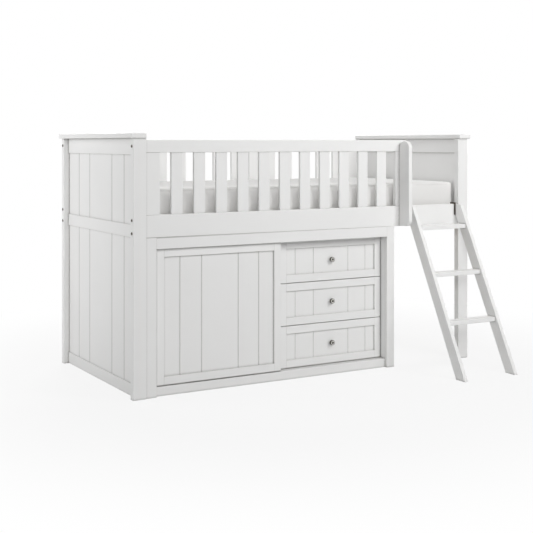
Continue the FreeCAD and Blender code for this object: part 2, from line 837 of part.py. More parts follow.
def sliding_door():
    frame, panel = framed_front((door_left, door_right), door_front, door_thickness, (door_low, door_top),
                                door_stile_width, (door_bottom_rail_height, door_top_rail_height),
                                (door_centre_board, door_side_board))
    return {"door_frame": frame, "door_panel": [panel], "door_glides": door_glides()}


def drawers():
    pieces = {}
    x_span = grown((divider_right, right_jamb), -drawer_side_gap)
    for index, name in enumerate(("top", "middle", "bottom")):
        z_span = (drawer_low(index), drawer_low(index) + drawer_front_height)
        frame, panel = framed_front(x_span, drawer_front, drawer_front_thickness, z_span,
                                    drawer_stile_width, (drawer_rail_height, drawer_rail_height),
                                    (drawer_centre_board, drawer_side_board))
        pieces[name + "_drawer_frame"] = frame
        pieces[name + "_drawer_panel"] = [panel]
        pieces[name + "_drawer_box"] = drawer_box(index)
        pieces[name + "_drawer_knob"] = [knob(index)]
    return pieces


def ladder():
    return {
        "ladder_left_stringer": [stringer(True)],
        "ladder_right_stringer": [stringer(False)],
        "ladder_steps": [ladder_step(top) for top in step_tops()],
        "ladder_hooks": ladder_hook(True) + ladder_hook(False),
    }


def write(name, solids):
    """Write one node's solids, moved to the origin."""
    shape = solids[0] if len(solids) == 1 else Part.makeCompound(solids)
    shape.translate(origin * -1.0)
    shape.exportStep("parts/" + name + ".step")


os.makedirs("parts", exist_ok=True)
for group in (end_frames(), sides(), cabinet(), sliding_door(), drawers(), ladder()):
    for node, node_solids in group.items():
        write(node, node_solids)
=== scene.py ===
# %% [markdown]
# # A low loft bed in white painted wood
#
# The bed has two panelled ends, slatted guards, a ladder that hooks over the front rail, a
# mattress on slats, and a cabinet below with one sliding door and three drawers. Its solids come
# packed from the CAD model, in metres, and stand where they belong. This script dresses them:
# it adds the camera, the light, the finishes, and the sewn and small pieces that the solids lack.

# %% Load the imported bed
import math

import bmesh
import bpy
import numpy as np
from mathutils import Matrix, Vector, noise


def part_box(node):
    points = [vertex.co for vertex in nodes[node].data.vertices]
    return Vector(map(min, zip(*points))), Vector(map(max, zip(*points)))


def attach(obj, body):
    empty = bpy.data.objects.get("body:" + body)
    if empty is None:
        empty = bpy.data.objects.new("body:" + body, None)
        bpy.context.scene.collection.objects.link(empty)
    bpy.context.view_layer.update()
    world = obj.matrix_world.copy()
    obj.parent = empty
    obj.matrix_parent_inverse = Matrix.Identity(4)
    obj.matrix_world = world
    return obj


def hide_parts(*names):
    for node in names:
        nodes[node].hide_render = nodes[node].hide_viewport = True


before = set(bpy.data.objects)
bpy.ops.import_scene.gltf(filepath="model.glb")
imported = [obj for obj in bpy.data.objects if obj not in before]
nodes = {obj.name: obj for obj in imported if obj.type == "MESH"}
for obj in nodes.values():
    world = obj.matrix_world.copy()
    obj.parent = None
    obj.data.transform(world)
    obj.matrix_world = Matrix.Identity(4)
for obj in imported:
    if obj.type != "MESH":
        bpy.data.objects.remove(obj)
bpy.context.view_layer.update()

scene = bpy.context.scene

# %% [markdown]
# ## Camera
#
# All upright edges of the bed are parallel in the picture, so the camera looks level, and the
# frame is moved down with the lens shift, as on a view camera. Tilting the camera would make the
# posts lean. The place, the turn and the lens were solved from the bed's straight edges.

# %% Camera
picture_side = 533
horizon_row = 141.98
middle_column = 266.9
focal_pixels = 1062.52

lens = bpy.data.cameras.new("front_left_camera")
lens.sensor_fit = "HORIZONTAL"
lens.sensor_width = 36.0
lens.lens = lens.sensor_width * focal_pixels / picture_side
lens.shift_x = (picture_side / 2 - middle_column) / picture_side
lens.shift_y = (horizon_row - picture_side / 2) / picture_side
camera = bpy.data.objects.new("front_left_camera", lens)
camera.location = (-2.9234, -4.8393, 1.2)
camera.rotation_euler = (math.radians(90.0), 0.0, math.radians(-29.96))
scene.collection.objects.link(camera)
scene.camera = camera
print("lens", round(lens.lens, 2), "mm, shift", round(lens.shift_y, 4))

# %% [markdown]
# ## Shader sums written as Python
#
# A finish is a small tree of nodes. Linking nodes one by one hides the idea, so one class holds
# an output socket and turns Python's operators into Math nodes. `1 - mask` then reads as it
# would on paper. Every other node comes from `node`, which sets the node's own settings first
# and then its inputs. Three small methods cover what almost every finish needs: a place on the
# piece, the parts of a vector, and a ramp that runs between two limits.

# %% One socket of a finish
class Wire:
    """An output socket of a material; sums on it add Math nodes."""

    def __init__(self, tree, socket=None):
        self.tree = tree
        self.socket = socket

    def node(self, kind, settings=None, values=None, output=0):
        """Adds a node with its settings and its inputs' values or wires, and gives one output."""
        made = self.tree.nodes.new(kind)
        for name, setting in (settings or {}).items():
            setattr(made, name, setting)
        for name, value in (values or {}).items():
            if isinstance(value, Wire):
                self.tree.links.new(value.socket, made.inputs[name])
            else:
                made.inputs[name].default_value = value
        return Wire(self.tree, made.outputs[output])

    def math(self, operation, first, second=0.0):
        return self.node("ShaderNodeMath", {"operation": operation}, {0: first, 1: second})

    def place(self, kind="Object"):
        """Place, or another kind of coordinate, on the piece that wears the material."""
        return self.node("ShaderNodeTexCoord", output=kind)

    def axes(self, names="XYZ"):
        """The named parts of this vector."""
        return [self.node("ShaderNodeSeparateXYZ", values={0: self}, output=name) for name in names]

    def ramp(self, low, high, first=0.0, last=1.0):
        """Runs from first to last while this socket runs from low to high, and no further."""
        values = {"Value": self, 1: low, 2: high, 3: first, 4: last}
        return self.node("ShaderNodeMapRange", values=values)

    def __add__(self, other):
        return self.math("ADD", self, other)

    def __radd__(self, other):
        return self.math("ADD", other, self)

    def __sub__(self, other):
        return self.math("SUBTRACT", self, other)

    def __rsub__(self, other):
        return self.math("SUBTRACT", other, self)

    def __mul__(self, other):
        return self.math("MULTIPLY", self, other)

    def __rmul__(self, other):
        return self.math("MULTIPLY", other, self)

    def __truediv__(self, other):
        return self.math("DIVIDE", self, other)

    def __rtruediv__(self, other):
        return self.math("DIVIDE", other, self)


def mixed(factor, first, second):
    """Colour between two colours."""
    settings = {"data_type": "RGBA"}
    return factor.node("ShaderNodeMix", settings, {0: factor, 6: first, 7: second}, output=2)


def grains(place, scale, detail=2.0, stretch=None):
    """Noise between 0 and 1, with its lumps drawn out where stretch is small."""
    if stretch:
        place = place.node("ShaderNodeMapping", values={"Vector": place, "Scale": stretch})
    values = {"Vector": place, "Scale": scale, "Detail": detail}
    return place.node("ShaderNodeTexNoise", values=values, output="Fac")


def waves(value, pitch):
    """Wave between 0 and 1 that repeats at a pitch."""
    return value.math("SINE", value * (2.0 * math.pi / pitch)) * 0.5 + 0.5


# %% [markdown]
# ## White room
#
# The bed stands in a plain white room. The world gives a weak light from all around, which keeps
# the undersides from going black, and what the camera and shiny metal see of it is plain white.
# The floor is a pale sheet that throws light back up under the rails. Near the bed it keeps a
# part of the bed's shadow, and it fades into white further out, so no edge of the floor shows.

# %% World and floor
room_light = 0.1
floor_reach = 14.0
floor_grey = 0.68
shadow_share = 0.16
shadow_reach = 2.6
full_shadow_share = 0.45


def seen_directly(wire):
    """1 for what the camera, metal or glass looks at, and 0 for light on its way."""
    camera_ray = wire.node("ShaderNodeLightPath", output="Is Camera Ray")
    glossy_ray = wire.node("ShaderNodeLightPath", output="Is Glossy Ray")
    glass_ray = wire.node("ShaderNodeLightPath", output="Is Transmission Ray")
    return wire.math("MAXIMUM", wire.math("MAXIMUM", camera_ray, glossy_ray), glass_ray)


room = bpy.data.worlds.new("white_room")
room.use_nodes = True
room.node_tree.nodes.clear()
air = Wire(room.node_tree)
lit = air.node("ShaderNodeBackground", values={"Color": (1, 1, 1, 1), "Strength": room_light})
white = air.node("ShaderNodeBackground", values={"Color": (1, 1, 1, 1), "Strength": 1.0})
shown = air.node("ShaderNodeMixShader", values={0: seen_directly(air), 1: lit, 2: white})
end = room.node_tree.nodes.new("ShaderNodeOutputWorld")
room.node_tree.links.new(shown.socket, end.inputs["Surface"])
scene.world = room

floor_mesh = bpy.data.meshes.new("floor")
sides = ((-1, -1), (1, -1), (1, 1), (-1, 1))
corners = [(x * floor_reach, y * floor_reach, 0.0) for x, y in sides]
floor_mesh.from_pydata(corners, [], [(0, 1, 2, 3)])
floor = bpy.data.objects.new("floor", floor_mesh)
scene.collection.objects.link(floor)

pale = bpy.data.materials.new("pale_floor")
pale.use_nodes = True
pale.node_tree.nodes.clear()
ground = Wire(pale.node_tree)
spot = ground.place()
away = ground.node("ShaderNodeVectorMath", {"operation": "LENGTH"}, {0: spot}, output="Value")
near = ground.node("ShaderNodeMapRange", {"interpolation_type": "SMOOTHSTEP"},
                   {"Value": away, 1: shadow_reach * full_shadow_share, 2: shadow_reach,
                    3: 1.0, 4: 0.0})
matt = ground.node("ShaderNodeBsdfDiffuse", values={"Color": (floor_grey,) * 3 + (1.0,)})
plain = ground.node("ShaderNodeEmission", values={"Color": (1, 1, 1, 1), "Strength": 1.0})
white_share = seen_directly(ground) * (1 - near * shadow_share)
shown = ground.node("ShaderNodeMixShader", values={0: white_share, 1: matt, 2: plain})
end = pale.node_tree.nodes.new("ShaderNodeOutputMaterial")
pale.node_tree.links.new(shown.socket, end.inputs["Surface"])
floor_mesh.materials.append(pale)
print("floor", 2 * floor_reach, "m wide, room light", room_light)

# %% [markdown]
# ## Lamps
#
# The shadows of the knobs fall down and to the left, so the main lamp is a small one, high at the
# front and right of them, but not so far right that the grab board shades the guard. Its shadows
# are filled by a large lamp in front and by a far one above the camera's line, so that the shade
# of the slats on the mattress stays pale. A weak lamp on each side lights the panelled ends, and
# the lamps behind and above lift the tops and the inner faces. Area lamps are the studio's
# softboxes: the larger they are, the softer the shadow. The view transform stays Standard, so a
# colour renders about as it is written.

# %% Softboxes
scene.view_settings.view_transform = "Standard"

# Where each lamp stands, where it aims, its side in metres and its power in watts.
softboxes = {
    "main_softbox": ((1.20, -2.60, 2.40), (0.4, -0.2, 0.6), 0.9, 41.0),
    "front_softbox": ((-1.00, -5.00, 3.00), (0.0, 0.0, 0.7), 3.0, 38.0),
    "far_softbox": ((-5.20, -8.80, 4.00), (0.0, 0.0, 0.8), 2.0, 250.0),
    "left_softbox": ((-2.60, 0.90, 1.30), (-1.0, 0.4, 0.7), 1.4, 19.5),
    "right_softbox": ((3.60, 0.30, 1.40), (1.0, 0.3, 0.7), 1.6, 22.0),
    "rear_softbox": ((0.50, 3.60, 2.80), (0.0, 0.4, 0.9), 2.0, 100.0),
    "top_softbox": ((0.00, 0.20, 3.80), (0.0, 0.2, 0.9), 2.4, 25.0),
}

for name, (stands, aims, side, watts) in softboxes.items():
    lamp = bpy.data.lights.new(name, "AREA")
    lamp.shape = "SQUARE"
    lamp.size = side
    lamp.energy = watts
    stand = bpy.data.objects.new(name, lamp)
    stand.location = stands
    way = Vector(aims) - Vector(stands)
    stand.rotation_euler = way.to_track_quat("-Z", "Y").to_euler()
    stand.visible_camera = False
    scene.collection.objects.link(stand)
print("lamps", {name: lamp.energy for name, lamp in bpy.data.lights.items()})

# %% [markdown]
# ## Finishes
#
# Each finish ends in one Principled shader. Numbers that are the same all over are set on its
# sockets; only colour, roughness and the bump change over the surface. The helper below makes
# the shader and leaves the rest to the finish.

# %% A finish with colour, roughness and relief
def finish(name, build):
    """Material whose build function gives a colour, a roughness and a relief, with its depth."""
    material = bpy.data.materials.new(name)
    material.use_nodes = True
    tree = material.node_tree
    tree.nodes.clear()
    shader = tree.nodes.new("ShaderNodeBsdfPrincipled")
    output = tree.nodes.new("ShaderNodeOutputMaterial")
    tree.links.new(shader.outputs["BSDF"], output.inputs["Surface"])
    parts = build(Wire(tree))
    tree.links.new(parts["colour"].socket, shader.inputs["Base Color"])
    tree.links.new(parts["roughness"].socket, shader.inputs["Roughness"])
    relief = {"Height": parts["relief"], "Strength": parts["strength"], "Distance": parts["depth"]}
    bump = parts["relief"].node("ShaderNodeBump", values=relief, output="Normal")
    tree.links.new(bump.socket, shader.inputs["Normal"])
    for socket, value in parts.get("fixed", {}).items():
        shader.inputs[socket].default_value = value
    return material


# %% [markdown]
# ### White paint
#
# The wood is sprayed with satin paint. Close up, the paint is not flat: the grain below it shows
# as long faint streaks, and the dried spray has a fine orange peel. It is a little thinner and
# smoother on the eased edges, which hands touch. The bed's faces lie along the axes, so an edge
# or the side of a groove is wherever the normal does not.
#
# Grooves and the gaps between boards get painted shade: their colour is darkened, as shade would
# darken them, beyond what the lamps alone make. The ambient occlusion node finds such places, since
# it measures how much of the nearest few millimetres is open. The boards of the ends get the
# darkest painted shade and the drawers the faintest. Where two boards lie flush, as the side rail
# on the cabinet does, nothing is hollow, and yet a thin line of painted shade is drawn along the
# joint, darkest at the left. Such joints are level, so their heights are enough to draw them.

# %% White paint
paint_colour = (0.845, 0.845, 0.840, 1.0)
paint_shade = (0.815, 0.812, 0.803, 1.0)
edge_colour = (0.770, 0.760, 0.740, 1.0)
# Painted shade: the dark colour that grooves, gaps and joint lines are mixed towards.
painted_shade_colour = (0.250, 0.240, 0.225, 1.0)
edge_lean = (0.02, 0.26)
shade_reach = 0.012
shade_open_limits = (0.90, 0.35)
# Painted shade lines along level joints: their width, strength and fade.
joint_reach = 0.0045
joint_share = 0.75
open_joint_end = -0.94
tight_joint_end = 0.10


def leaning(wire):
    """0 where a face lies along the axes, rising to 1 on rounded edges and in grooves."""
    normal = {0: wire.place("Normal")}
    size = wire.node("ShaderNodeVectorMath", {"operation": "ABSOLUTE"}, normal, output="Vector")
    x, y, z = size.axes()
    most = wire.math("MAXIMUM", wire.math("MAXIMUM", x, y), z)
    return (1 - most).ramp(*edge_lean)


def crevice_painted_shade(wire):
    """0 on open faces, rising to 1 where another face stands close; the mask of painted shade."""
    values = {"Distance": shade_reach}
    open_share = wire.node("ShaderNodeAmbientOcclusion", {"samples": 4}, values, output="AO")
    return open_share.ramp(*shade_open_limits)


def painted_joint_shade(wire, place, heights, closing):
    """1 on level lines of painted shade at these heights, fading to the right where the joint
    closes.
    """
    along, up = place.axes("XZ")
    lines = along * 0.0
    for height in heights:
        off = wire.math("ABSOLUTE", up - height)
        lines = lines + off.ramp(joint_reach / 3, joint_reach, 1.0, 0.0)
    if closing:
        lines = lines * along.ramp(open_joint_end, tight_joint_end, 0.8, 0.0)
    return lines


def paint(grain, edges=True, grooves=0.0, gaps=0.75, joints=(), closing=False):
    """Build function of the paint on wood whose grain has this stretch."""
    def build(wire):
        place = wire.place()
        streaks = grains(place, 230.0, 3.0, grain)
        clouds = grains(place, 6.0)
        peel = grains(place, 620.0, 1.0)
        colour = mixed(clouds * 0.6 + streaks * 0.4, paint_colour, paint_shade)
        roughness = 0.30 + clouds * 0.10 + streaks * 0.08
        if edges:
            worn = leaning(wire) * (0.35 + grains(place, 90.0, 3.0) * 0.65)
            colour = mixed(worn * 0.55, colour, edge_colour)
            roughness = roughness - worn * 0.08
        # Painted shade on the slanted sides of grooves, and on the rounded edges too.
        if grooves:
            colour = mixed(leaning(wire) * grooves, colour, painted_shade_colour)
        if joints:
            # Painted shade along the level joints.
            dark = painted_joint_shade(wire, place, joints, closing) * joint_share
            colour = mixed(dark, colour, painted_shade_colour)
        # Painted shade in grooves and gaps, where the occlusion node finds close faces.
        colour = mixed(crevice_painted_shade(wire) * gaps, colour, painted_shade_colour)
        return {"colour": colour, "roughness": roughness, "relief": streaks * 0.6 + peel * 0.4,
                "strength": 0.22, "depth": 0.0006, "fixed": {"IOR": 1.48}}
    return build


drawn_out = 0.045
along_x = (drawn_out, 1.0, 1.0)
along_y = (1.0, drawn_out, 1.0)
along_z = (1.0, 1.0, drawn_out)
paint_lengthwise = finish("paint_lengthwise", paint(along_x))
paint_crosswise = finish("paint_crosswise", paint(along_y))
paint_upright = finish("paint_upright", paint(along_z))
# The end panels also get painted shade on the sides of their grooves.
paint_boards = finish("paint_boards", paint(along_z, grooves=0.55))
# The drawers get a fainter painted shade in their gaps.
paint_drawers = finish("paint_drawers", paint(along_z, gaps=0.4))
rail_on_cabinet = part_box("front_side_rail")[0].z
door_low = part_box("door_frame")[0].z
drawer_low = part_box("bottom_drawer_frame")[0].z
rail_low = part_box("cabinet_top_rail")[0].z
# Painted shade lines: where the side rail meets the cabinet, on the door just under the cabinet's
# top rail and along its lower edge, and along the bottom drawer's lower edge.
paint_joint = finish("paint_joint", paint(along_x, joints=(rail_on_cabinet,), closing=True))
paint_door = finish("paint_door", paint(along_z, joints=(rail_low, door_low)))
paint_low_drawer = finish("paint_low_drawer", paint(along_x, joints=(drawer_low,)))
paint_ladder = finish("paint_ladder", paint(along_z, edges=False))
paints = [material.name for material in bpy.data.materials if material.name.startswith("paint_")]
print("white paint:", paints)

# %% [markdown]
# ### Coated board
#
# The drawer boxes, the shelf and the cabinet's back are thin boards with a pressed white coat.
# It has a fine pebbled surface, duller than the paint, with no grain.

# %% Coated board
def coated_board(wire):
    place = wire.place()
    pebbles = wire.node("ShaderNodeTexVoronoi", {"feature": "SMOOTH_F1"},
                        {"Vector": place, "Scale": 480.0}, output="Distance")
    clouds = grains(place, 9.0)
    uneven = clouds * 0.7 + pebbles * 0.3
    colour = mixed(uneven, (0.83, 0.825, 0.81, 1.0), (0.79, 0.785, 0.765, 1.0))
    return {"colour": colour, "roughness": 0.46 + clouds * 0.10, "relief": pebbles,
            "strength": 0.20, "depth": 0.0005}


board_coat = finish("board_coat", coated_board)
print("board:", board_coat.name)

# %% [markdown]
# ### Bare pine
#
# The slats, the ledgers under them and the drawer runners are plain planed pine. A board is cut
# from a trunk of rings, so the rings are drawn as distances from a far trunk line that runs along
# the board, bent by noise. Fine fibres and the darker late wood follow from the same rings.

# %% Bare pine
pine_light = (0.80, 0.64, 0.43, 1.0)
pine_dark = (0.60, 0.40, 0.21, 1.0)
ring_pitch = 0.0085
board_pitch = 0.1315
trunk_side = 0.60
trunk_drop = 0.62


def pine(grain, length_axis):
    """Build function of pine boards that run along one axis."""
    def build(wire):
        place = wire.place()
        run, = place.axes(length_axis)
        across, up = place.axes("XYZ".replace(length_axis, ""))
        board = wire.math("FLOOR", across / board_pitch)
        shift = wire.node("ShaderNodeTexWhiteNoise", {"noise_dimensions": "1D"}, {"W": board})
        bend = grains(place, 5.0, 3.0, grain) * 0.045
        side = across + shift * 0.21 - trunk_side + run * 0.02
        depth = up - trunk_drop + shift * 0.05
        far = wire.math("SQRT", side * side + depth * depth) + bend
        turn = wire.math("FRACT", far / ring_pitch)
        late = wire.math("POWER", turn, 3.0)
        fibres = grains(place, 420.0, 2.0, grain)
        colour = mixed(late * 0.55 + fibres * 0.25, pine_light, pine_dark)
        return {"colour": colour, "roughness": 0.50 + fibres * 0.18,
                "relief": fibres * 0.7 - late * 0.3, "strength": 0.30, "depth": 0.0006}
    return build


pine_crosswise = finish("pine_crosswise", pine(along_y, "Y"))
pine_lengthwise = finish("pine_lengthwise", pine(along_x, "X"))
print("pine:", pine_crosswise.name, pine_lengthwise.name)

# %% [markdown]
# ### Metal and nylon
#
# The knobs are turned nickel with a painted reflection: the head's colour is painted dark, as a
# dark room mirrored in it, with a bright painted ring around the head as its highlight. The ring
# is found from the distance to the knob's own middle line. The bolts and the ladder's hooks have a
# dark bronzed coat with a slight mottle. The door's glides and the shelf pins are milky moulded
# nylon.

# %% Metal and nylon
ring_middle = 0.70
ring_half = (0.06, 0.18)


def knob_with_painted_reflection(wire):
    place = wire.place()
    x, z = [share - 0.5 for share in wire.place("Generated").axes("XZ")]
    from_axis = wire.math("SQRT", x * x + z * z) * 2
    smears = grains(place, 160.0)
    off_ring = wire.math("ABSOLUTE", from_axis - ring_middle + smears * 0.08)
    # Painted reflection: a bright ring on a dark head, as a room would mirror in polished metal.
    painted_bright_ring = off_ring.ramp(*ring_half, 1.0, 0.0)
    colour = mixed(painted_bright_ring, (0.10, 0.095, 0.080, 1.0), (0.78, 0.77, 0.74, 1.0))
    marks = waves(from_axis, 0.09)
    return {"colour": colour, "roughness": 0.10 + smears * 0.12, "relief": marks,
            "strength": 0.10, "depth": 0.0002, "fixed": {"Metallic": 1.0}}


def bronzed_steel(wire):
    place = wire.place()
    mottle = grains(place, 300.0, 3.0)
    specks = grains(place, 1400.0, 1.0)
    colour = mixed(mottle, (0.125, 0.105, 0.085, 1.0), (0.070, 0.060, 0.052, 1.0))
    return {"colour": colour, "roughness": 0.30 + mottle * 0.20, "relief": specks,
            "strength": 0.15, "depth": 0.0002, "fixed": {"Metallic": 0.75}}


def milky_nylon(wire):
    place = wire.place()
    flow = grains(place, 120.0, 2.0)
    dull = grains(place, 900.0, 1.0)
    colour = mixed(flow, (0.86, 0.86, 0.83, 1.0), (0.80, 0.80, 0.76, 1.0))
    return {"colour": colour, "roughness": 0.42 + flow * 0.12, "relief": dull,
            "strength": 0.12, "depth": 0.0002}


knob_polish = finish("knob_polish", knob_with_painted_reflection)
bronze_coat = finish("bronze_coat", bronzed_steel)
nylon = finish("nylon_moulding", milky_nylon)
print("metal and nylon:", knob_polish.name, bronze_coat.name, nylon.name)

# %% [markdown]
# ## Dress the solids
#
# Boards are cut with the grain along their length, so posts, stiles, slats and panels take the
# upright paint, rails along the bed the lengthwise one, and rails and caps across it the
# crosswise one. A table of name endings says which solid gets which finish.

# %% Dress the solids
endings = {
    board_coat: ("_drawer_box", "cabinet_back", "cupboard_shelf"),
    pine_crosswise: ("base_slats", "drawer_runners"),
    pine_lengthwise: ("slat_ledgers",),
    knob_polish: ("_knob",),
    bronze_coat: ("ladder_hooks", "frame_bolts"),
    nylon: ("door_glides", "shelf_pins"),
    paint_ladder: ("_stringer",),
    paint_boards: ("_upper_panel", "_lower_panel"),
    paint_drawers: ("_drawer_panel",),
    paint_joint: ("front_side_rail", "cabinet_top_rail"),
    paint_door: ("door_frame",),
    paint_low_drawer: ("bottom_drawer_frame",),
    paint_crosswise: ("left_top_rail", "left_mid_rail", "left_bottom_rail", "right_top_rail",
                      "right_mid_rail", "_cap"),
    paint_lengthwise: ("rear_side_rail", "guard_top_rail", "cabinet_plinth", "door_guide",
                       "cabinet_floor", "cabinet_top", "ladder_steps", "top_drawer_frame",
                       "middle_drawer_frame"),
}

worn_by = {}
for name, solid in nodes.items():
    fitting = [made for made, names in endings.items() if name.endswith(names)]
    material = fitting[0] if fitting else paint_upright
    solid.data.materials.clear()
    solid.data.materials.append(material)
    worn_by.setdefault(material.name, []).append(name)
print("solids by finish", {name: len(solids) for name, solids in worn_by.items()})

# %% [markdown]
# ## Mattress
#
# The mattress is a sewn case over a foam core: a top panel, a bottom panel and a border between
# them, joined along two fine seams on its rounded edges. A block would look like a solid, so the
# case is a grid that Blender's cloth blows up from inside. The seams and the bottom, which lies
# on the slats, are held, and the top and the border swell between them. The case starts a little
# small, since it swells, and its sides are drawn in between the corners. A cube turns into this
# case if the part of each point beyond an inner box is pulled onto a ball.

# %% Case of the mattress, flat
pad_low, pad_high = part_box("mattress")
pad_middle = (pad_low + pad_high) / 2
pad_half = (pad_high - pad_low) / 2
case_inset = Vector((0.003, 0.004, 0.003))
case_half = pad_half - case_inset
case_middle = pad_middle - Vector((0.0, 0.0, case_inset.z))
edge_round = 0.026
side_draw = 0.005
grid_pitch = 0.015


def pad_point(unit):
    """Place on the flat case for a point of a cube from -0.5 to 0.5."""
    flat = Vector([2.0 * unit[axis] * case_half[axis] for axis in range(3)])
    inner = [half - edge_round for half in case_half]
    over = [max(0.0, abs(flat[axis]) - inner[axis]) / edge_round for axis in range(3)]
    for axis in range(3):
        first, second = over[axis - 1] ** 2, over[axis - 2] ** 2
        pulled = over[axis] * math.sqrt(1.0 - first / 2.0 - second / 2.0 + first * second / 3.0)
        flat[axis] = math.copysign(abs(flat[axis]) - (over[axis] - pulled) * edge_round, flat[axis])
    share_x, share_y = flat.x / case_half.x, flat.y / case_half.y
    drawn = Vector((share_x * (1.0 - share_y ** 2), share_y * (1.0 - share_x ** 2), 0.0))
    return case_middle + flat - drawn * side_draw


grid = bmesh.new()
bmesh.ops.create_cube(grid, size=1.0)
for axis in range(3):
    runs = [edge for edge in grid.edges if abs((edge.verts[0].co - edge.verts[1].co)[axis]) > 0.5]
    cells = round(2.0 * pad_half[axis] / grid_pitch)
    bmesh.ops.subdivide_edges(grid, edges=runs, cuts=cells - 1, use_grid_fill=True)
units = [vert.co.copy() for vert in grid.verts]
for vert, unit in zip(grid.verts, units):
    vert.co = pad_point(unit)
case = bpy.data.meshes.new("mattress_pad")
grid.to_mesh(case)
grid.free()
pad = bpy.data.objects.new("mattress_pad", case)
scene.collection.objects.link(pad)

rim = 0.5 - 1e-4
on_bottom = [unit.z < -rim for unit in units]
on_top = [unit.z > rim for unit in units]
on_side = [max(abs(unit.x), abs(unit.y)) > rim for unit in units]
sewn = [low or (top and side) for low, top, side in zip(on_bottom, on_top, on_side)]
print("case of", len(case.vertices), "points,", sum(sewn), "of them held")

# %% [markdown]
# ## Swelling the case
#
# Pressure pushes each face outwards. Twenty frames are enough for the case to fill. A foam
# mattress is firm, so the way that each point went is then scaled down, panel by panel: the top
# keeps the dome that the cloth found, at a few millimetres of height, and so do the sides.

# %% Swell the case with cloth
swell_top = 0.0065
swell_side = 0.0065
swell_end = 0.0045
frames = 20
pressure = 4.0
stretch_stiffness = 18.0
bending_stiffness = 1.2

start = np.array([vert.co for vert in case.vertices])
group = pad.vertex_groups.new(name="sewn")
group.add([index for index, held in enumerate(sewn) if held], 1.0, "REPLACE")
cloth = pad.modifiers.new("swell", "CLOTH")
cloth.settings.quality = 6
cloth.settings.use_pressure = True
cloth.settings.uniform_pressure_force = pressure
cloth.settings.tension_stiffness = stretch_stiffness
cloth.settings.compression_stiffness = stretch_stiffness
cloth.settings.bending_stiffness = bending_stiffness
cloth.settings.vertex_group_mass = "sewn"
cloth.settings.effector_weights.gravity = 0.0
cloth.collision_settings.use_collision = False
cloth.point_cache.frame_end = frames
for step in range(1, frames + 1):
    scene.frame_set(step)
swollen = pad.evaluated_get(bpy.context.evaluated_depsgraph_get()).to_mesh()
moved = np.array([vert.co for vert in swollen.vertices]) - start
pad.modifiers.clear()
scene.frame_set(1)

distance = np.linalg.norm(moved, axis=1)
upper = np.array(on_top)
ends = np.array([abs(unit.x) > rim for unit in units])
panels = {"top": (upper, swell_top),
          "ends": (ends & ~upper, swell_end),
          "sides": (~ends & ~upper, swell_side)}
settled = start.copy()
for name, (panel, swell) in panels.items():
    most = float(distance[panel].max())
    share = swell / max(most, swell)
    settled[panel] += moved[panel] * share
    print(name, "moved", round(most * 1000, 1), "mm, kept a share of", round(share, 3))

# %% [markdown]
# ## Settling the cover
#
# A sewn cover is never quite even. Once the case is smooth, slow waves of a millimetre go into
# the top and the border, and short gathers run away from the upper seam, where the sewing pulls
# the cloth. The case is subdivided first, so that the gathers have enough points to be round.

# %% Settle the cover and gather it at the seam
wave_depth = 0.0012
wave_pitch = 0.22
gather_depth = 0.0006
gather_pitch = 0.027
gather_reach = 0.022
gather_drift = 4.0
drift_scale = 9.0

for vert, place in zip(case.vertices, settled):
    vert.co = place
smoother = pad.modifiers.new("smoother", "SUBSURF")
smoother.levels = smoother.render_levels = 1
fine = bpy.data.meshes.new_from_object(pad.evaluated_get(bpy.context.evaluated_depsgraph_get()))
pad.modifiers.clear()
pad.vertex_groups.clear()
pad.data = fine
bpy.data.meshes.remove(case)
fine.name = "mattress_pad"

seam_corner = case_half - Vector((1.0, 1.0, 1.0)) * edge_round * (1.0 - math.sqrt(0.5))
ways_out = [normal.vector.copy() for normal in fine.vertex_normals]
for vert, way_out in zip(fine.vertices, ways_out):
    if vert.co.z < pad_low.z + edge_round:
        continue
    wave = noise.noise(vert.co / wave_pitch)
    off = [abs(vert.co[axis] - case_middle[axis]) - seam_corner[axis] for axis in range(3)]
    from_seam = math.hypot(max(off[0], off[1]), off[2])
    drift = gather_drift * noise.noise(vert.co * drift_scale)
    phase = 2.0 * math.pi * (vert.co.x + vert.co.y) / gather_pitch + drift
    gather = math.sin(phase) * math.exp(-from_seam / gather_reach)
    vert.co += way_out * (wave * wave_depth + gather * gather_depth)
for face in fine.polygons:
    face.use_smooth = True
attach(pad, "bed")
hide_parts("mattress")
highest = max(vert.co.z for vert in fine.vertices)
print("mattress top at", round(highest, 4), "m,", len(fine.polygons), "faces")

# %% [markdown]
# ## Seam tape
#
# Each seam is closed with a narrow woven tape that is folded over the two edges and stitched
# through. The tape follows the held line, so it is a flat oval carried around that line, tilted
# as the rounded edge is, with a row of stitches on its outer face. A stitch is a small spindle.

# %% Outline of a seam
seam_steps = 260


def outline(level, count):
    """Points around the upper (1) or lower (-1) seam, each with its run, outward and side way."""
    corners = [(-0.5, -0.5), (0.5, -0.5), (0.5, 0.5), (-0.5, 0.5)]
    loop = []
    for first, second in zip(corners, corners[1:] + corners[:1]):
        long_side = abs(second[0] - first[0]) > 0.5
        steps = count if long_side else round(count * pad_half.y / pad_half.x)
        for step in range(steps):
            share = step / steps
            unit = [first[axis] + (second[axis] - first[axis]) * share for axis in range(2)]
            loop.append(pad_point((unit[0], unit[1], level / 2)))
    line = []
    for before, place, after in zip(loop[-1:] + loop[:-1], loop, loop[1:] + loop[:1]):
        run = (after - before).normalized()
        out = Vector((run.y, -run.x, level)).normalized()
        line.append((place, run, out, run.cross(out)))
    return line


seam_points = [point[0] for point in outline(1, seam_steps)]
seam_length = sum((a - b).length for a, b in zip(seam_points, seam_points[1:] + seam_points[:1]))
print("seam", round(seam_length, 2), "m long")

# %% Tape and its stitches
tape_width = 0.0060
tape_depth = 0.0022
stitch_length = 0.0050
stitch_pitch = 0.0066
stitch_width = 0.0009


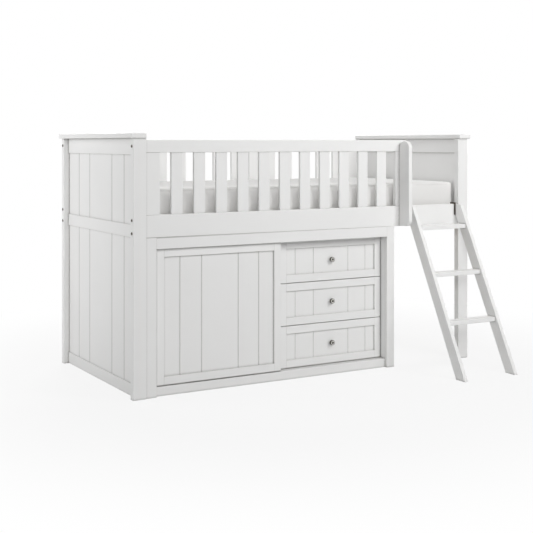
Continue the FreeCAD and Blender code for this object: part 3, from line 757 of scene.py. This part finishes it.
def oval_along(line, width, depth, sides=12):
    """Closed tube with a flat oval section around a seam."""
    tube = bmesh.new()
    turns = [2.0 * math.pi * side / sides for side in range(sides)]
    section = [(depth / 2 * math.cos(turn), width / 2 * math.sin(turn)) for turn in turns]
    rings = []
    for place, run, out, aside in line:
        rings.append([tube.verts.new(place + out * high + aside * wide) for high, wide in section])
    for first, second in zip(rings, rings[1:] + rings[:1]):
        for side in range(sides):
            after = (side + 1) % sides
            tube.faces.new((first[side], second[side], second[after], first[after]))
    return tube


def spindle(mesh, middle, run, out, aside):
    """One stitch: thread that rises out of the cloth and dips into it again."""
    tips = [mesh.verts.new(middle + run * stitch_length * share) for share in (-0.5, 0.5)]
    belts = []
    for share in (-0.3, 0.3):
        belts.append([mesh.verts.new(middle + run * stitch_length * share + way * stitch_width / 2)
                      for way in (out, aside, -out, -aside)])
    for side in range(4):
        after = (side + 1) % 4
        mesh.faces.new((tips[0], belts[0][side], belts[0][after]))
        mesh.faces.new((belts[0][side], belts[1][side], belts[1][after], belts[0][after]))
        mesh.faces.new((tips[1], belts[1][after], belts[1][side]))


def shown_piece(name, mesh, material):
    """Piece on the bed from a built mesh."""
    bmesh.ops.recalc_face_normals(mesh, faces=mesh.faces)
    data = bpy.data.meshes.new(name)
    mesh.to_mesh(data)
    mesh.free()
    for face in data.polygons:
        face.use_smooth = True
    data.materials.append(material)
    piece = bpy.data.objects.new(name, data)
    scene.collection.objects.link(piece)
    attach(piece, "bed")


# %% [markdown]
# ### Cover, tape and thread
#
# The cover is a fine knit. Its loops are two waves that cross, set out along the cloth: along and
# up on the border, and along and across on the top. Slubs, which are thicker stretches of yarn,
# keep it from looking printed. The knit is a little greyer than the paint, so the slats stand out
# against it. The tape is ribbed across its run, and the thread is plain.

# %% Cover, tape and thread
knit_pitch = 0.0030
rib_pitch = 0.0016
top_facing = 0.7


def cloth_axes(wire, place):
    """Distances along and across the cloth, on the top and on the border."""
    facing_up, = wire.place("Normal").axes("Z")
    top = wire.math("GREATER_THAN", wire.math("ABSOLUTE", facing_up), top_facing)
    x, y, z = place.axes()
    return x + y * (1 - top), z + (y - z) * top


def knit_cover(wire):
    place = wire.place()
    along, across = cloth_axes(wire, place)
    loops = waves(along, knit_pitch) * waves(across, knit_pitch * 0.8)
    slubs = grains(place, 55.0, 4.0)
    clouds = grains(place, 4.0)
    uneven = clouds * 0.5 + slubs * 0.3 + loops * 0.2
    colour = mixed(uneven, (0.77, 0.764, 0.752, 1.0), (0.72, 0.714, 0.702, 1.0))
    return {"colour": colour, "roughness": 0.80 + slubs * 0.15, "relief": loops * 0.7 + slubs * 0.3,
            "strength": 0.35, "depth": 0.0008,
            "fixed": {"Sheen Weight": 0.15, "Sheen Roughness": 0.5, "Specular IOR Level": 0.3}}


def ribbed_tape(wire):
    place = wire.place()
    along = cloth_axes(wire, place)[0]
    ribs = waves(along, rib_pitch)
    slubs = grains(place, 80.0, 3.0)
    uneven = ribs * 0.4 + slubs * 0.6
    colour = mixed(uneven, (0.85, 0.845, 0.835, 1.0), (0.80, 0.795, 0.785, 1.0))
    return {"colour": colour, "roughness": 0.70 + slubs * 0.2, "relief": ribs * 0.8 + slubs * 0.2,
            "strength": 0.4, "depth": 0.0006, "fixed": {"Specular IOR Level": 0.3}}


def thread(wire):
    place = wire.place()
    twist = grains(place, 1500.0, 1.0)
    colour = mixed(twist, (0.80, 0.795, 0.78, 1.0), (0.70, 0.695, 0.68, 1.0))
    return {"colour": colour, "roughness": 0.55 + twist * 0.2, "relief": twist,
            "strength": 0.2, "depth": 0.0002}


fine.materials.clear()
fine.materials.append(finish("knit_cover", knit_cover))
tape_finish = finish("ribbed_tape", ribbed_tape)
thread_finish = finish("sewing_thread", thread)

for name, level in (("upper_tape", 1), ("lower_tape", -1)):
    tape = oval_along(outline(level, seam_steps), tape_width, tape_depth)
    shown_piece(name, tape, tape_finish)

stitches = bmesh.new()
stitch_line = outline(1, round(2.0 * pad_half.x / stitch_pitch))
for place, run, out, aside in stitch_line:
    spindle(stitches, place + out * tape_depth / 2, run, out, aside)
shown_piece("tape_stitches", stitches, thread_finish)
print("tapes sewn with", len(stitch_line), "stitches")
